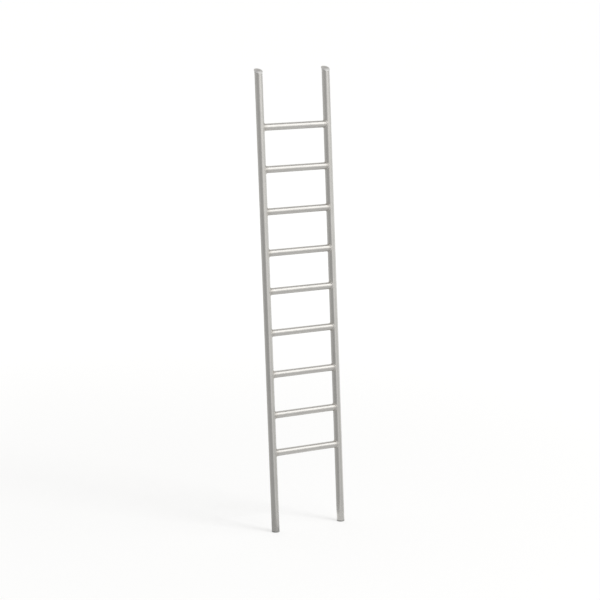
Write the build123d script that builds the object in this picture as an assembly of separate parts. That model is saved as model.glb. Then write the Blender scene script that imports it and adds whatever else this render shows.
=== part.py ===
from build123d import *
import math
import os

# Straight climbing ladder of welded round steel tube: two stiles, nine rungs.
# Millimetres. X runs along the rungs, +Y is the back, Z is up from the floor.

# ---- overall sizes ----
STILE_SPACING = 457.0        # between the two stile centre lines
STILE_DIA = 46.5             # outer diameter of a stile
STILE_WALL = 2.5
RUNG_DIA = 41.8              # outer diameter of a rung
RUNG_WALL = 2.0
LEAN = 4.07                  # degrees the ladder leans back

# ---- rungs, measured along the stile from the floor ----
FIRST_RUNG = 481.0           # floor to the lowest rung's centre
RUNG_PITCHES = [229.5, 245.5, 250.0, 250.0] * 2   # lowest gap first

# ---- stile tops: cut on a slant and closed with a domed cap ----
TOP_ABOVE_RUNG = 327.0       # top rung's centre to the cut, on the stile's centre line
TOP_SLANT = 31.0             # degrees from square; the back of the tube stands higher
CAP_BACK_LIP = 7.0           # cap standing out past the tube at the back
CAP_SIDE_LIP = 1.5           # and at each side
CAP_EDGE = 1.0               # thickness at the two ends of the oval
CAP_DOME_RADIUS = 52.0

# ---- weld beads ----
WELD_LEG = 5.0               # along the rung and along the stile

# ---- foot plugs ----
FOOT_FLANGE = 8.0            # visible height under the tube
FOOT_STEM = 36.0             # length pushed into the tube
STEM_CLEARANCE = 0.15        # radial, stem to bore
FOOT_EDGE = 1.5              # rounding of the plug's lower rim

# ---- derived ----
STILE_R = STILE_DIA / 2
RUNG_R = RUNG_DIA / 2
BORE_R = STILE_R - STILE_WALL
HALF = STILE_SPACING / 2
CAP_HALF_LONG = STILE_R / math.cos(math.radians(TOP_SLANT)) + CAP_BACK_LIP / 2
CAP_HALF_WIDE = STILE_R + CAP_SIDE_LIP
CAP_HEIGHT = CAP_EDGE + CAP_DOME_RADIUS - math.sqrt(CAP_DOME_RADIUS**2 - CAP_HALF_LONG**2)
RUNG_HEIGHTS = [FIRST_RUNG + sum(RUNG_PITCHES[:k]) for k in range(len(RUNG_PITCHES) + 1)]
TOP = RUNG_HEIGHTS[-1] + TOP_ABOVE_RUNG
BIG = 4 * STILE_DIA


def top_trim(height):
    """Block above the slanted plane that crosses the centre line at a height."""
    block = Box(BIG, BIG, BIG, align=(Align.CENTER, Align.CENTER, Align.MIN))
    return Pos(0, 0, height) * Rot(TOP_SLANT, 0, 0) * block


def floor_trim(height):
    """Block under a level plane at the given height above the floor."""
    return Pos(0, 0, height) * Box(
        BIG, BIG, BIG, align=(Align.CENTER, Align.CENTER, Align.MAX))


def leaned(shape):
    """Tilt a shape from the straight ladder frame into the leaning one."""
    return Rot(-LEAN, 0, 0) * shape


def stile():
    """Hollow tube, level at the foot and slanted at the top."""
    length = TOP + 2 * STILE_DIA
    base = (Align.CENTER, Align.CENTER, Align.MIN)
    outer = Cylinder(STILE_R, length, align=base)
    bore = Cylinder(BORE_R, length, align=base)
    tube = Pos(0, 0, -STILE_R) * (outer - bore) - top_trim(TOP)
    return leaned(tube) - floor_trim(FOOT_FLANGE)


def top_cap():
    """Domed oval plate lying on the slanted cut, its back edge standing out."""
    plate = extrude(Ellipse(CAP_HALF_WIDE, CAP_HALF_LONG), CAP_HEIGHT)
    ball = Rot(0, 90, 0) * Sphere(CAP_DOME_RADIUS)
    dome = Pos(0, 0, CAP_HEIGHT - CAP_DOME_RADIUS) * ball
    cap = Pos(0, CAP_BACK_LIP / 2, 0) * (plate & dome)
    return leaned(Pos(0, 0, TOP) * Rot(TOP_SLANT, 0, 0) * cap)


def foot_plug():
    stem_top = FOOT_FLANGE + FOOT_STEM
    whole = leaned(Pos(0, 0, -STILE_R) * Cylinder(
        STILE_R, STILE_DIA, align=(Align.CENTER, Align.CENTER, Align.MIN)))
    flange = whole - floor_trim(0)
    flange -= Pos(0, 0, FOOT_FLANGE) * Box(
        BIG, BIG, BIG, align=(Align.CENTER, Align.CENTER, Align.MIN))
    rim = flange.edges().sort_by(Axis.Z)[0]
    flange = fillet(rim, FOOT_EDGE)
    stem = leaned(Cylinder(
        BORE_R - STEM_CLEARANCE, stem_top, align=(Align.CENTER, Align.CENTER, Align.MIN)))
    return flange + (stem - floor_trim(FOOT_FLANGE / 2))


def rung(height):
    """Round tube, its ends coped to the stiles."""
    solid = Pos(0, 0, height) * Rot(0, 90, 0) * Cylinder(RUNG_R, STILE_SPACING)
    bore = Pos(0, 0, height) * Rot(0, 90, 0) * Cylinder(RUNG_R - RUNG_WALL, STILE_SPACING)
    for side in (-1, 1):
        solid -= Pos(side * HALF, 0, height) * Cylinder(STILE_R, BIG)
    return solid - bore


def weld(side, height):
    """Flat-faced bead round the joint of one rung end and its stile."""
    post = Pos(side * HALF, 0, height) * Cylinder(STILE_R, BIG)
    reach = HALF - STILE_R
    arm = Pos(side * (HALF - reach / 2), 0, height) * Rot(0, 90, 0) * Cylinder(RUNG_R, reach)
    joined = post + arm
    seam = [e for e in joined.edges()
            if e.geom_type not in (GeomType.CIRCLE, GeomType.LINE)]
    return chamfer(seam, WELD_LEG) - post - arm


def put(shape, name):
    shape.label = name
    export_step(shape, f"parts/{name}.step")


os.makedirs("parts", exist_ok=True)
sides = {"left": -1, "right": 1}

one_stile = stile()
one_plug = foot_plug()
one_cap = top_cap()

# the whole ladder is centred front to back on its own bounding box
front = one_plug.bounding_box().min.Y
back = one_cap.bounding_box().max.Y
seat = Pos(0, -(front + back) / 2, 0)

for side_name, side in sides.items():
    at = seat * Pos(side * HALF, 0, 0)
    put(at * one_stile, f"{side_name}_stile")
    put(at * one_plug, f"{side_name}_foot_plug")
    put(at * one_cap, f"{side_name}_top_cap")

for number, height in enumerate(RUNG_HEIGHTS, start=1):
    put(seat * leaned(rung(height)), f"rung_{number}")
    for side_name, side in sides.items():
        put(seat * leaned(weld(side, height)), f"rung_{number}_weld_{side_name}")
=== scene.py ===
import math

import bmesh
import bpy
from bpy.props import (BoolProperty, FloatProperty, FloatVectorProperty, PointerProperty)
from mathutils import Matrix, Vector


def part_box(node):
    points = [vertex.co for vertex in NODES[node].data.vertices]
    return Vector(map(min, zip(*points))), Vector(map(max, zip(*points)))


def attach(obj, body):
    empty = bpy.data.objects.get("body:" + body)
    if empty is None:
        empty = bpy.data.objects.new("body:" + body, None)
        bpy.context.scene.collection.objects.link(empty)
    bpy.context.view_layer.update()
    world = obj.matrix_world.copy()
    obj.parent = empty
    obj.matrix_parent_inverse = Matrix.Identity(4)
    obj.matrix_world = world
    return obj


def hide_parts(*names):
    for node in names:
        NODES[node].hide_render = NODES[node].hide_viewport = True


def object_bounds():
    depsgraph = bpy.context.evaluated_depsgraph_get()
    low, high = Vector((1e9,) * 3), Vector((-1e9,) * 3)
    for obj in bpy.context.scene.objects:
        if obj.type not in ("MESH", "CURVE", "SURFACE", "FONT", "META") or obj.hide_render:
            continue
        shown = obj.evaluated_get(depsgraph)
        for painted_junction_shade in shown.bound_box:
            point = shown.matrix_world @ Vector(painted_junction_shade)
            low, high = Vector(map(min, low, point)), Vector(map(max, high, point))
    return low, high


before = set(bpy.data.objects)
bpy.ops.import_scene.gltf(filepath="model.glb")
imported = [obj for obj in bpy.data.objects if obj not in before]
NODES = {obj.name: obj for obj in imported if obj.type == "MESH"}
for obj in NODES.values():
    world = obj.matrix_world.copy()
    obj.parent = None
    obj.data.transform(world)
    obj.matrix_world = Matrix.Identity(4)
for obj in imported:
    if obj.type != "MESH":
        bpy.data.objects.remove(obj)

bl_info = {
    "name": "Steel Climbing Ladder",
    "version": (1, 0, 0),
    "blender": (4, 5, 0),
    "location": "3D View > Sidebar > Ladder",
    "description": "Finishes and studio for a welded tube ladder with slanted, capped stile tops",
    "category": "Object",
}

# ---------------------------------------------------------------- the ladder's own numbers

CAD_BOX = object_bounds()
RUNG_COUNT = sum(1 for name in NODES if name.startswith("rung_") and name.count("_") == 1)
SIDES = ("left", "right")
HEAT_WIDTH = 0.016           # how far the welding's heat coloured the tubes
HEAT_STRENGTH = 0.11
HEAT_COLOUR = (0.80, 0.70, 0.54)
BEAD_TURNS = 420             # cross-sections round one bead
BEAD_STEPS = 7               # faces from the rung's toe to the stile's toe
SINK = 0.0004                # how far the bead's hidden edges run into the tubes
STEEL_RELIEF = 0.000008      # height of the drawing lines on stiles and rungs
WELD_RELIEF = 0.00008
CAP_RELIEF = 0.00006
FOOT_RELIEF = 0.0002
SPLASH_HEIGHT = 0.22         # dirt splashed up the stiles ends here
PLUG_DUST_HEIGHT = 0.008

# ---------------------------------------------------------------- studio, metres and degrees

CAMERA_PLACE = (-5.9228, -10.2807, 3.6039)
CAMERA_DIP = 10.6034         # how far it looks down
CAMERA_TURN = 29.9418        # how far it is turned to the right of straight back
FLOOR_RADIUS = 150.0
SOFTBOX_AZIMUTH = 30.0       # to the right of straight in front
SOFTBOX_ELEVATION = 38.0
SOFTBOX_DISTANCE = 14.0
SOFTBOX_WIDTH = 16.8
SOFTBOX_HEIGHT = 12.8
KEY_AZIMUTH = 31.0
KEY_ELEVATION = 40.0
KEY_SPREAD = 20.0            # angular size of the key light, which blurs its shadows
CAMERA_WHITE = 1.02          # studio wall as the camera sees it
SOFTBOX_SIDE = (0.5, -0.866, 0.0)    # level direction towards the softbox
PALE_WALL_SIDE = (0.35, -0.94, 0.0)  # level direction towards the wall's paler band
GREY_TOP = 4.0               # brightest level that grey() can carry
FLOOR_GLOW = 0.538           # the floor's own light near the ladder, as the camera sees it
FLOOR_GLOW_GAIN = 0.10       # and how much it gains by 9 m
FLOOR_FRONT = 0.55           # floor in reflections, towards the softbox
FLOOR_SIDE = 0.385           # and away from it


def middle(node):
    low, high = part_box(node)
    return (Vector(low) + Vector(high)) / 2


def half_size(node):
    low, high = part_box(node)
    return (Vector(high) - Vector(low)) / 2


FIRST = middle("rung_1")
LAST = middle(f"rung_{RUNG_COUNT}")
UP = (LAST - FIRST).normalized()
LEAN = math.atan2(UP.y, UP.z)
STILE_X = middle("right_stile").x
STILE_R = half_size("right_stile").x
RUNG_R = half_size("rung_1").y
# where the plane of the stile centre lines meets the floor
FOOT_Y = FIRST.y - FIRST.z * math.tan(LEAN)
RUNG_ALONG = [(middle(f"rung_{k}") - Vector((0, FOOT_Y, 0))).dot(UP)
              for k in range(1, RUNG_COUNT + 1)]
WELD_LEG = half_size("rung_1_weld_left").z / math.cos(LEAN) - RUNG_R


# ---------------------------------------------------------------- shader arithmetic

class Field:
    """One socket of a material, ready for Python arithmetic."""

    def __init__(self, finish, socket):
        self.finish = finish
        self.socket = socket

    def is_vector(self):
        return self.socket.type == "VECTOR"

    def maths(self, operation, *values):
        if any(isinstance(v, Field) and v.is_vector() for v in values):
            return self.vector_maths(operation, *values)
        return self.finish.node("ShaderNodeMath", {"operation": operation},
                                dict(enumerate(values)))

    def vector_maths(self, operation, *values):
        widened = [v if isinstance(v, (Field, tuple)) else (v, v, v) for v in values]
        return self.finish.node("ShaderNodeVectorMath", {"operation": operation},
                                dict(enumerate(widened)))

    def __add__(self, other):
        return self.maths("ADD", self, other)

    def __radd__(self, other):
        return self.maths("ADD", other, self)

    def __sub__(self, other):
        return self.maths("SUBTRACT", self, other)

    def __rsub__(self, other):
        return self.maths("SUBTRACT", other, self)

    def __mul__(self, other):
        return self.maths("MULTIPLY", self, other)

    def __rmul__(self, other):
        return self.maths("MULTIPLY", other, self)

    def __truediv__(self, other):
        return self.maths("DIVIDE", self, other)

    def __rtruediv__(self, other):
        return self.maths("DIVIDE", other, self)

    def __pow__(self, other):
        return self.maths("POWER", self, other)

    def __abs__(self):
        return self.maths("ABSOLUTE", self)

    def smaller(self, other):
        return self.maths("MINIMUM", self, other)

    def larger(self, other):
        return self.maths("MAXIMUM", self, other)

    def fade(self, start, end):
        """0 at start, 1 at end, eased between; start may be the larger."""
        settings = {"interpolation_type": "SMOOTHSTEP"}
        return self.finish.node("ShaderNodeMapRange", settings,
                                {"Value": self, "From Min": start, "From Max": end})

    def blend(self, colour_a, colour_b):
        """colour_a where this field is 0, colour_b where it is 1."""
        settings = {"data_type": "RGBA", "blend_type": "MIX", "clamp_factor": True}
        return self.finish.node("ShaderNodeMix", settings,
                                {0: self, 6: colour_a, 7: colour_b}, out=2)

    def length(self):
        return self.finish.node("ShaderNodeVectorMath", {"operation": "LENGTH"},
                                {0: self}, out="Value")

    def dot(self, other):
        return self.finish.node("ShaderNodeVectorMath", {"operation": "DOT_PRODUCT"},
                                {0: self, 1: other}, out="Value")

    def sign(self):
        return self.maths("SIGN", self)

    def part(self, axis):
        """One component of a vector: X, Y or Z."""
        return self.finish.node("ShaderNodeSeparateXYZ", {}, {0: self}, out=axis)


class Finish:
    """The nodes of a new material, or of the world, written as Python calls."""

    def __init__(self, name, owner=None):
        self.material = owner or bpy.data.materials.new(name)
        self.material.use_nodes = True
        self.tree = self.material.node_tree
        self.tree.nodes.clear()
        self.place = 0

    def node(self, kind, settings=None, inputs=None, out=0):
        """Adds a node: its settings first, then its socket values or links."""
        made = self.tree.nodes.new(kind)
        self.place += 1
        made.location = (180 * (self.place % 12), -220 * (self.place // 12))
        for key, value in (settings or {}).items():
            setattr(made, key, value)
        for key, value in (inputs or {}).items():
            if isinstance(value, Field):
                self.tree.links.new(value.socket, made.inputs[key])
            else:
                made.inputs[key].default_value = self.fitted(made.inputs[key], value)
        return Field(self, made.outputs[out])

    @staticmethod
    def fitted(socket, value):
        if socket.type == "RGBA" and len(value) == 3:
            return (*value, 1.0)
        return value

    def position(self):
        return self.node("ShaderNodeTexCoord", out="Object")

    def upright(self):
        """Position with the ladder's lean undone: Z runs along the stiles from the floor."""
        moved = self.position() - (0.0, FOOT_Y, 0.0)
        return self.node("ShaderNodeVectorRotate", {"rotation_type": "X_AXIS"},
                         {"Vector": moved, "Angle": LEAN})

    def noise(self, vector, scale, detail=3.0, roughness=0.5, stretch=None, seed=0.0):
        if stretch:
            vector = vector * stretch
        return self.node("ShaderNodeTexNoise", {"noise_dimensions": "4D"},
                         {"Vector": vector, "W": seed, "Scale": scale, "Detail": detail,
                          "Roughness": roughness})

    def surface(self, **sockets):
        """The Principled shader and the material output."""
        named = {key.replace("_", " "): value for key, value in sockets.items()}
        shader = self.node("ShaderNodeBsdfPrincipled", {}, named)
        self.node_output(shader)
        return self.material

    def node_output(self, shader, kind="ShaderNodeOutputMaterial"):
        made = self.tree.nodes.new(kind)
        self.tree.links.new(shader.socket, made.inputs["Surface"])

    def relief(self, height, distance):
        return self.node("ShaderNodeBump", {},
                         {"Height": height, "Distance": distance, "Strength": 1.0})


def grey(level, white=(1.0, 1.0, 0.995)):
    """A grey whose brightness is a field; a level may pass 1, up to GREY_TOP."""
    return (level / GREY_TOP).blend((0.0, 0.0, 0.0), tinted(white, GREY_TOP))


def tinted(colour, factor):
    return tuple(channel * factor for channel in colour)


def wear_finish(node_name, material):
    """Puts a finished material on a CAD node."""
    data = NODES[node_name].data
    data.materials.clear()
    data.materials.append(material)


# ---------------------------------------------------------------- settings

class LadderTubeSettings(bpy.types.PropertyGroup):
    """Satin steel of the stiles and rungs."""
    colour: FloatVectorProperty(
        name="Steel", description="Colour of the bare satin steel", subtype="COLOR",
        size=3, min=0.0, max=1.0, default=(0.76, 0.745, 0.715))
    roughness: FloatProperty(
        name="Roughness", description="How satin the steel is", subtype="FACTOR",
        min=0.0, max=1.0, default=0.26)
    grain: FloatProperty(
        name="Grain", description="Width of the fine drawing lines along the tube",
        subtype="DISTANCE", unit="LENGTH", min=0.0001, default=0.0012)
    tarnish: FloatProperty(
        name="Tarnish", description="Strength of the cloudy weathered patches",
        subtype="FACTOR", min=0.0, max=1.0, default=0.35)
    tread_wear: FloatProperty(
        name="Tread wear", description="Polish and scuffs along the top of each rung",
        subtype="FACTOR", min=0.0, max=1.0, default=0.5)


class LadderWeldSettings(bpy.types.PropertyGroup):
    """The beads between rungs and stiles."""
    colour: FloatVectorProperty(
        name="Bead", description="Colour of the weld metal", subtype="COLOR",
        size=3, min=0.0, max=1.0, default=(0.70, 0.685, 0.66))
    ripple: FloatProperty(
        name="Ripple", description="Length of one ripple of the bead",
        subtype="DISTANCE", unit="LENGTH", min=0.0005, default=0.0027)
    crown: FloatProperty(
        name="Crown", description="Height of the bead's round back",
        subtype="DISTANCE", unit="LENGTH", min=0.0, default=0.0007)


class LadderFootSettings(bpy.types.PropertyGroup):
    """Moulded plugs under the stiles."""
    colour: FloatVectorProperty(
        name="Plug", description="Colour of the moulded foot plug", subtype="COLOR",
        size=3, min=0.0, max=1.0, default=(0.36, 0.36, 0.35))
    dust: FloatProperty(
        name="Dust", description="Pale dust on the plug near the floor",
        subtype="FACTOR", min=0.0, max=1.0, default=0.4)


class LadderStageSettings(bpy.types.PropertyGroup):
    """Floor, lights and camera."""
    floor_colour: FloatVectorProperty(
        name="Floor", description="Colour of the studio floor", subtype="COLOR",
        size=3, min=0.0, max=1.0, default=(0.55, 0.55, 0.55))
    softbox_power: FloatProperty(
        name="Softbox", description="Power of the large softbox on the right",
        unit="POWER", min=0.0, default=640.0)
    key_strength: FloatProperty(
        name="Key", description="Strength of the distant key light that lays the shadows",
        min=0.0, default=0.75)
    surround: FloatProperty(
        name="Surround", description="Brightness of the studio walls in reflections",
        min=0.0, default=0.455)
    lens: FloatProperty(
        name="Lens", description="Focal length of the camera",
        unit="CAMERA", min=10.0, default=120.685)
    with_floor: BoolProperty(
        name="Floor shown", description="Lay the pale floor under the ladder", default=True)


class LadderSettings(bpy.types.PropertyGroup):
    """Everything the panel shows."""
    tube: PointerProperty(type=LadderTubeSettings, name="Tube")
    weld: PointerProperty(type=LadderWeldSettings, name="Weld")
    foot: PointerProperty(type=LadderFootSettings, name="Foot")
    stage: PointerProperty(type=LadderStageSettings, name="Stage")


# ---------------------------------------------------------------- finishes

def steel_layers(finish, along, settings, colour):
    """Colour, roughness and height shared by every steel piece.

    along is 'X' for a rung and 'Z' for a stile: the way the tube was drawn.
    """
    place = finish.upright()
    run = (0.02, 1.0, 1.0) if along == "X" else (1.0, 1.0, 0.02)
    lines = finish.noise(place, 1.0 / settings.grain, 2.0, 0.6, stretch=run)
    half_run = tuple(0.3 + 0.7 * share for share in run)
    streaks = finish.noise(place, 90.0, 4.0, 0.6, stretch=half_run, seed=3.0)
    clouds = finish.noise(place, 7.0, 5.0, 0.6, seed=8.0)
    specks = finish.noise(place, 420.0, 2.0, 0.5, seed=5.0).fade(0.66, 0.74)
    patches = clouds.fade(0.40, 0.68) * settings.tarnish
    shade = patches.blend(colour, tinted(colour, 0.86))
    shade = (streaks.fade(0.45, 0.75) * 0.25).blend(shade, tinted(colour, 0.90))
    shade = (specks * 0.3).blend(shade, tinted(colour, 0.72))
    rough = settings.roughness + (lines - 0.5) * 0.08 + patches * 0.05 + specks * 0.10
    height = lines * 0.5 + streaks * 0.1 + specks * -0.3
    return place, shade, rough, height


def heat_tinted(finish, place, shade, near_bead):
    """Faint straw-coloured tint that the welding left beside each bead."""
    broken = finish.noise(place, 70.0, 3.0, 0.6, seed=14.0).fade(0.25, 0.60)
    return (near_bead * broken * HEAT_STRENGTH).blend(shade, HEAT_COLOUR)


def make_stile_finish(settings):
    finish = Finish("stile_satin_steel")
    place, shade, rough, height = steel_layers(finish, "Z", settings, tuple(settings.colour))
    run = place.part("Z")
    # distance from the nearest rung's centre line, on the side that faces the rungs
    nearest = abs(run - RUNG_ALONG[0])
    for along in RUNG_ALONG[1:]:
        nearest = nearest.smaller(abs(run - along))
    sideways = place.part("Y")
    from_rung = (nearest * nearest + sideways * sideways) ** 0.5
    bead_edge = RUNG_R + WELD_LEG
    near_bead = from_rung.fade(bead_edge + HEAT_WIDTH, bead_edge)
    near_bead = near_bead * abs(place.part("X")).fade(STILE_X, STILE_X - 0.3 * STILE_R)
    shade = heat_tinted(finish, place, shade, near_bead)
    splash = run.fade(SPLASH_HEIGHT, 0.0)
    splash = splash * finish.noise(place, 26.0, 5.0, 0.65, seed=2.0).fade(0.42, 0.62)
    shade = (splash * 0.18).blend(shade, (0.36, 0.34, 0.31))
    # broad patches polished by hands
    palm = finish.noise(place, 3.0, 2.0, 0.5, stretch=(1.0, 1.0, 0.5), seed=9.0).fade(0.45, 0.7)
    rough = rough - 0.05 + splash * 0.25 - palm * 0.02
    return finish.surface(Base_Color=shade, Metallic=1.0, Roughness=rough,
                          Normal=finish.relief(height, STEEL_RELIEF))


def make_rung_finish(settings):
    finish = Finish("rung_satin_steel")
    place, shade, rough, height = steel_layers(finish, "X", settings, tuple(settings.colour))
    facing = finish.node("ShaderNodeTexCoord", out="Normal").part("Z")
    sideways = abs(place.part("X"))
    # soles polish the top of the rung, most of all near its middle
    tread = facing.fade(0.45, 0.95) * sideways.fade(STILE_X * 0.85, STILE_X * 0.25)
    broken = finish.noise(place, 34.0, 4.0, 0.65, stretch=(0.4, 1.0, 1.0), seed=4.0)
    broken = broken.fade(0.38, 0.62)
    tread = tread * broken * settings.tread_wear
    scuffs = finish.noise(place, 160.0, 3.0, 0.7, stretch=(1.0, 0.12, 0.12), seed=6.0)
    scuffs = scuffs.fade(0.60, 0.68) * tread
    shade = (tread * 0.5).blend(shade, tinted(tuple(settings.colour), 1.08))
    shade = (scuffs * 0.6).blend(shade, tinted(tuple(settings.colour), 0.7))
    bead_edge = STILE_X - STILE_R - WELD_LEG
    shade = heat_tinted(finish, place, shade, sideways.fade(bead_edge - HEAT_WIDTH, bead_edge))
    # painted shade: the rung is darker, and rougher, where it meets the weld
    painted_junction_shade = sideways.fade(bead_edge - 0.008, bead_edge + 0.003) * 0.25
    shade = painted_junction_shade.blend(shade, (0.42, 0.40, 0.37))
    rough = rough - tread * 0.06 + scuffs * 0.2 + painted_junction_shade * 0.4
    return finish.surface(Base_Color=shade, Metallic=1.0, Roughness=rough,
                          Normal=finish.relief(height - scuffs, STEEL_RELIEF))


def make_weld_finish(settings):
    finish = Finish("weld_bead_steel")
    place = finish.upright()
    colour = tuple(settings.colour)
    skin = finish.noise(place, 700.0, 3.0, 0.55, seed=1.0)
    pits = finish.noise(place, 900.0, 2.0, 0.5, seed=7.0).fade(0.64, 0.72)
    heat = finish.noise(place, 45.0, 3.0, 0.6, seed=2.0).fade(0.42, 0.7)
    shade = (heat * 0.30).blend(colour, (0.62, 0.56, 0.47))
    shade = (pits * 0.5).blend(shade, (0.36, 0.345, 0.32))
    return finish.surface(Base_Color=shade, Metallic=1.0,
                          Roughness=0.34 + (skin - 0.5) * 0.20 + pits * 0.2,
                          Normal=finish.relief(skin - pits * 0.6, WELD_RELIEF))


def make_cap_finish(settings):
    """Caps with a painted highlight, a paler band along the low front edge of the oval, and
    painted shade along the far rim.
    """
    finish = Finish("cap_satin_steel")
    colour = tuple(settings.colour)
    sideways = finish.position().part("X")
    place, shade, rough, height = steel_layers(finish, "X", settings, tinted(colour, 1.02))
    # place within either cap, across and front to back, as shares of its half size
    size = half_size("right_top_cap")
    across = (abs(sideways) - STILE_X) * sideways.sign() / size.x
    along = (finish.position().part("Y") - middle("right_top_cap").y) / size.y
    radius = (across * across + along * along) ** 0.5
    front = (across * -0.35 + along * -0.94) / radius.larger(0.05)
    # painted highlight: a paler, slightly rougher band along the low front edge of each cap
    painted_highlight_band = radius.fade(0.50, 0.74) * front.fade(-0.20, 0.45)
    broken = finish.noise(place, 120.0, 3.0, 0.6, seed=11.0).fade(0.25, 0.55)
    painted_highlight_band = painted_highlight_band * (0.75 + broken * 0.25)
    shade = painted_highlight_band.blend(shade, (0.83, 0.825, 0.81))
    # painted shade: a darker band along the far rim of each cap
    painted_rim_shade = radius.fade(0.62, 0.86) * front.fade(0.35, -0.2)
    shade = (painted_rim_shade * 0.30).blend(shade, tinted(colour, 0.74))
    dents = finish.noise(place, 55.0, 2.0, 0.5, seed=4.0)
    return finish.surface(Base_Color=shade, Metallic=1.0, Roughness=rough + 0.16 + painted_highlight_band * 0.12,
                          Normal=finish.relief(height + dents * 2.0, CAP_RELIEF))


def make_foot_finish(settings):
    finish = Finish("foot_moulded_rubber")
    place = finish.position()
    colour = tuple(settings.colour)
    cloud = finish.noise(place, 60.0, 4.0, 0.6, seed=1.0)
    pores = finish.noise(place, 1300.0, 2.0, 0.5, seed=2.0)
    low = place.part("Z").fade(PLUG_DUST_HEIGHT, 0.0)
    dusty = low.larger(0.35) * cloud.fade(0.42, 0.64) * settings.dust
    shade = (cloud.fade(0.3, 0.7) * 0.4).blend(colour, tinted(colour, 0.75))
    shade = dusty.blend(shade, (0.50, 0.48, 0.45))
    # faint flow lines left by the mould, running round the rim
    flow = finish.noise(place, 900.0, 3.0, 0.6, stretch=(0.05, 0.05, 1.0), seed=3.0)
    shade = (flow.fade(0.45, 0.70) * 0.20).blend(shade, tinted(colour, 0.7))
    return finish.surface(Base_Color=shade, Metallic=0.0, Roughness=0.55 + dusty * 0.3,
                          Normal=finish.relief(pores + flow * 0.5, FOOT_RELIEF))


# ---------------------------------------------------------------- operators

class LADDER_OT_stiles(bpy.types.Operator):
    """Finish both stiles in satin drawn steel"""
    bl_idname = "ladder.stiles"
    bl_label = "Stiles"

    def execute(self, context):
        material = make_stile_finish(context.scene.ladder.tube)
        for side in SIDES:
            wear_finish(f"{side}_stile", material)
        return {"FINISHED"}


class LADDER_OT_rungs(bpy.types.Operator):
    """Finish every rung in satin steel with trodden tops"""
    bl_idname = "ladder.rungs"
    bl_label = "Rungs"

    def execute(self, context):
        material = make_rung_finish(context.scene.ladder.tube)
        for number in range(1, RUNG_COUNT + 1):
            wear_finish(f"rung_{number}", material)
        return {"FINISHED"}


def on_stile(radius, turn, reach, side, stile_r=STILE_R):
    """Point on the stile where the rung's outline at an angle meets it, moved outward by reach
    along the stile's surface. The origin is the crossing of the two centre lines."""
    round_it = math.asin(radius * math.cos(turn) / STILE_R) + reach * math.cos(turn) / STILE_R
    return Vector((-side * stile_r * math.cos(round_it), stile_r * math.sin(round_it),
                   (radius + reach) * math.sin(turn)))


def bead_ring(turn, side, settings, roll):
    """Cross-section of the bead at one angle about the rung: rung toe, crown, stile toe.

    Points are relative to the crossing of the rung's and the stile's centre lines,
    in the ladder's own unleaned frame.
    """
    # each ripple swells slowly and ends sharply, like a row of pushed-over coins
    count = round(math.tau * RUNG_R / settings.ripple)
    phase = (turn / math.tau * count + roll) % 1.0
    swell = 0.5 - 0.5 * math.cos(math.tau * phase ** 1.6)
    sway = 1.0 + 0.05 * math.sin(3.0 * turn + 7.0 * roll) + 0.04 * math.sin(7.0 * turn + roll)
    leg = WELD_LEG * sway * (0.95 + 0.05 * swell)
    crown = settings.crown * (1.0 + 0.5 * swell)
    outward = Vector((0.0, math.cos(turn), math.sin(turn)))
    seam = on_stile(RUNG_R, turn, 0.0, side)
    rung_toe = seam - Vector((side * leg, 0.0, 0.0))
    stile_toe = on_stile(RUNG_R, turn, leg, side)
    bulge = (outward + Vector((-side, 0.0, 0.0))).normalized()
    ring = []
    for step in range(BEAD_STEPS + 1):
        t = step / BEAD_STEPS
        ring.append(rung_toe.lerp(stile_toe, t) + bulge * crown * math.sin(math.pi * t))
    ring[0] = ring[0] - outward * SINK
    ring[-1] = on_stile(RUNG_R, turn, leg, side, STILE_R - SINK)
    ring.append(on_stile(RUNG_R - SINK, turn, 0.0, side, STILE_R - SINK))
    return ring


def make_bead(name, side, centre, settings, roll):
    """One rippled bead as a closed ring of cross-sections."""
    mesh = bpy.data.meshes.new(name)
    work = bmesh.new()
    lean = Matrix.Rotation(-LEAN, 3, "X")
    rings = []
    for k in range(BEAD_TURNS):
        points = bead_ring(math.tau * k / BEAD_TURNS, side, settings, roll)
        rings.append([work.verts.new(centre + lean @ point) for point in points])
    for k, ring in enumerate(rings):
        following = rings[(k + 1) % BEAD_TURNS]
        for j in range(len(ring)):
            near = (j + 1) % len(ring)
            work.faces.new((ring[j], ring[near], following[near], following[j]))
    bmesh.ops.recalc_face_normals(work, faces=work.faces)
    for face in work.faces:
        face.smooth = True
    work.to_mesh(mesh)
    work.free()
    bead = bpy.data.objects.new(name, mesh)
    bpy.context.scene.collection.objects.link(bead)
    return bead


class LADDER_OT_welds(bpy.types.Operator):
    """Lay a rippled bead round every rung end"""
    bl_idname = "ladder.welds"
    bl_label = "Weld beads"

    def execute(self, context):
        settings = context.scene.ladder.weld
        material = make_weld_finish(settings)
        for number in range(1, RUNG_COUNT + 1):
            for side_name, side in zip(SIDES, (-1, 1)):
                centre = Vector((side * STILE_X, 0.0, 0.0)) + middle(f"rung_{number}")
                bead = make_bead(f"weld_bead_{number}_{side_name}", side, centre, settings,
                                 roll=number * 0.37 + side * 0.21)
                bead.data.materials.append(material)
                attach(bead, "root")
                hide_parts(f"rung_{number}_weld_{side_name}")
        return {"FINISHED"}


class LADDER_OT_caps(bpy.types.Operator):
    """Finish the domed caps on the stile tops"""
    bl_idname = "ladder.caps"
    bl_label = "Top caps"

    def execute(self, context):
        material = make_cap_finish(context.scene.ladder.tube)
        for side in SIDES:
            wear_finish(f"{side}_top_cap", material)
        return {"FINISHED"}


class LADDER_OT_feet(bpy.types.Operator):
    """Finish the moulded foot plugs"""
    bl_idname = "ladder.feet"
    bl_label = "Foot plugs"

    def execute(self, context):
        material = make_foot_finish(context.scene.ladder.foot)
        for side in SIDES:
            wear_finish(f"{side}_foot_plug", material)
        return {"FINISHED"}


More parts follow.
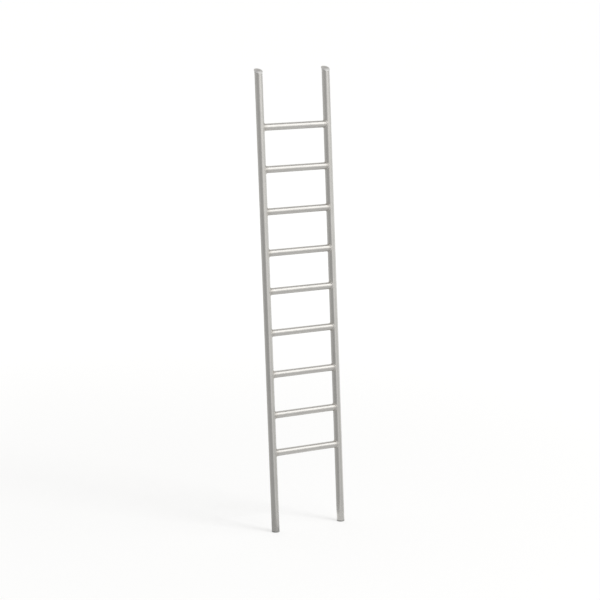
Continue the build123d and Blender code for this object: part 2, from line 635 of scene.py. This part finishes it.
def make_floor(settings):
    """A wide pale floor: bright to look at, duller in the steel's reflections."""
    mesh = bpy.data.meshes.new("studio_floor")
    plate = bmesh.new()
    bmesh.ops.create_circle(plate, cap_ends=True, segments=96, radius=FLOOR_RADIUS)
    plate.to_mesh(mesh)
    plate.free()
    floor = bpy.data.objects.new("studio_floor", mesh)
    bpy.context.scene.collection.objects.link(floor)
    finish = Finish("studio_floor_paint")
    seen = finish.node("ShaderNodeLightPath", out="Is Camera Ray")
    pale = finish.node("ShaderNodeBsdfDiffuse", {}, {"Color": tuple(settings.floor_colour)})
    # the lamps fade with distance, so the far floor glows more to stay as pale
    place = finish.position()
    away = place.length()
    glow = finish.node("ShaderNodeEmission", {},
                       {"Color": grey(FLOOR_GLOW + away.fade(1.0, 9.0) * FLOOR_GLOW_GAIN)})
    bright = finish.node("ShaderNodeAddShader", {}, {0: pale, 1: glow})
    # in reflections: dim at the left, paler to the front and with distance
    toward = place.dot(SOFTBOX_SIDE) / away.larger(0.05)
    rightward = place.part("X") / away.larger(0.05)
    front = FLOOR_FRONT + away.fade(1.2, 0.3) * 0.05 + away.fade(3.8, 6.5) * 0.03
    front = front + (away - 6.5).larger(0.0).smaller(9.0) * 0.012
    front = front + rightward.fade(0.5, 0.0) * 0.08 + rightward.fade(0.86, 1.0) * 0.25
    side = FLOOR_SIDE + toward.fade(-0.55, -1.0) * 0.13
    level = side + (front - side) * toward.larger(rightward * 0.85).fade(0.52, 0.78)
    dull = finish.node("ShaderNodeEmission", {}, {"Color": grey(level)})
    finish.node_output(finish.node("ShaderNodeMixShader", {}, {0: seen, 1: dull, 2: bright}))
    mesh.materials.append(finish.material)


def make_surround(settings):
    """Studio walls: white to the camera, graded grey in reflections."""
    world = bpy.data.worlds.new("studio_walls")
    bpy.context.scene.world = world
    finish = Finish("studio_walls", world)
    direction = finish.node("ShaderNodeTexCoord", out="Generated")
    back = direction.part("Y").fade(-0.2, 1.0)
    up = direction.part("Z").fade(0.2, 1.0)
    # a paler band low down in front, where the studio's far floor meets its wall
    facing = direction.dot(PALE_WALL_SIDE)
    painted_highlight_band = facing.fade(0.60, 0.86) * direction.part("Z").fade(0.20, 0.04)
    level = settings.surround * (1.0 + back * 0.75 - up * 0.12 + painted_highlight_band * 0.95)
    seen = finish.node("ShaderNodeLightPath", out="Is Camera Ray")
    strength = level * (1.0 - seen) + seen * CAMERA_WHITE
    shade = finish.node("ShaderNodeBackground", {},
                        {"Color": grey(strength, (1.0, 0.995, 0.985))})
    finish.node_output(shade, "ShaderNodeOutputWorld")


def direction_to(azimuth, elevation):
    """Unit vector to the right of straight in front by the azimuth, and up by the elevation."""
    a, e = math.radians(azimuth), math.radians(elevation)
    return Vector((math.sin(a) * math.cos(e), -math.cos(a) * math.cos(e), math.sin(e)))


def hang_light(light, away, distance, target):
    """Places a light at a distance from the target and aims it there."""
    lamp = bpy.data.objects.new(light.name, light)
    lamp.location = target + away * distance
    lamp.rotation_euler = (-away).to_track_quat("-Z", "Y").to_euler()
    bpy.context.scene.collection.objects.link(lamp)
    return lamp


def make_softbox(settings):
    """Large softbox, high in front on the right, aimed at the ladder's middle."""
    light = bpy.data.lights.new("softbox_right", "AREA")
    light.shape = "RECTANGLE"
    light.size = SOFTBOX_WIDTH
    light.size_y = SOFTBOX_HEIGHT
    light.energy = settings.softbox_power
    heart = Vector((0.0, 0.0, CAD_BOX[1][2] / 2))
    hang_light(light, direction_to(SOFTBOX_AZIMUTH, SOFTBOX_ELEVATION), SOFTBOX_DISTANCE, heart)


def make_key(settings):
    """Distant soft key light: lays the faint shadows, and is not seen in the steel."""
    light = bpy.data.lights.new("key_light", "SUN")
    light.energy = settings.key_strength
    light.angle = math.radians(KEY_SPREAD)
    key = hang_light(light, direction_to(KEY_AZIMUTH, KEY_ELEVATION), SOFTBOX_DISTANCE, Vector())
    key.visible_glossy = False


def make_camera(settings):
    data = bpy.data.cameras.new("camera")
    data.lens = settings.lens
    data.sensor_width = 36.0
    data.clip_end = 2.0 * FLOOR_RADIUS
    camera = bpy.data.objects.new("camera", data)
    camera.location = CAMERA_PLACE
    camera.rotation_euler = (math.radians(90.0 - CAMERA_DIP), 0.0, math.radians(-CAMERA_TURN))
    bpy.context.scene.collection.objects.link(camera)
    bpy.context.scene.camera = camera


class LADDER_OT_stage(bpy.types.Operator):
    """Set up the floor, the surround, the lights and the camera"""
    bl_idname = "ladder.stage"
    bl_label = "Studio"

    def execute(self, context):
        settings = context.scene.ladder.stage
        context.scene.view_settings.view_transform = "Standard"
        if settings.with_floor:
            make_floor(settings)
        make_surround(settings)
        make_softbox(settings)
        make_key(settings)
        make_camera(settings)
        return {"FINISHED"}


class LADDER_PT_main(bpy.types.Panel):
    """The ladder's settings and steps"""
    bl_idname = "LADDER_PT_main"
    bl_label = "Steel Climbing Ladder"
    bl_space_type = "VIEW_3D"
    bl_region_type = "UI"
    bl_category = "Ladder"

    def draw(self, context):
        settings = context.scene.ladder
        groups = ((settings.tube, ("ladder.stiles", "ladder.rungs", "ladder.caps")),
                  (settings.weld, ("ladder.welds",)),
                  (settings.foot, ("ladder.feet",)),
                  (settings.stage, ("ladder.stage",)))
        for group, operators in groups:
            box = self.layout.box()
            for key in group.__annotations__:
                box.prop(group, key)
            for name in operators:
                box.operator(name)


CLASSES = (LadderTubeSettings, LadderWeldSettings, LadderFootSettings, LadderStageSettings,
           LadderSettings, LADDER_OT_stiles, LADDER_OT_rungs, LADDER_OT_welds,
           LADDER_OT_caps, LADDER_OT_feet, LADDER_OT_stage, LADDER_PT_main)


def register():
    for cls in CLASSES:
        bpy.utils.register_class(cls)
    bpy.types.Scene.ladder = PointerProperty(type=LadderSettings)


def unregister():
    del bpy.types.Scene.ladder
    for cls in reversed(CLASSES):
        bpy.utils.unregister_class(cls)


def main():
    register()
    bpy.ops.ladder.stiles()
    bpy.ops.ladder.rungs()
    bpy.ops.ladder.welds()
    bpy.ops.ladder.caps()
    bpy.ops.ladder.feet()
    bpy.ops.ladder.stage()


if __name__ == "__main__":
    main()
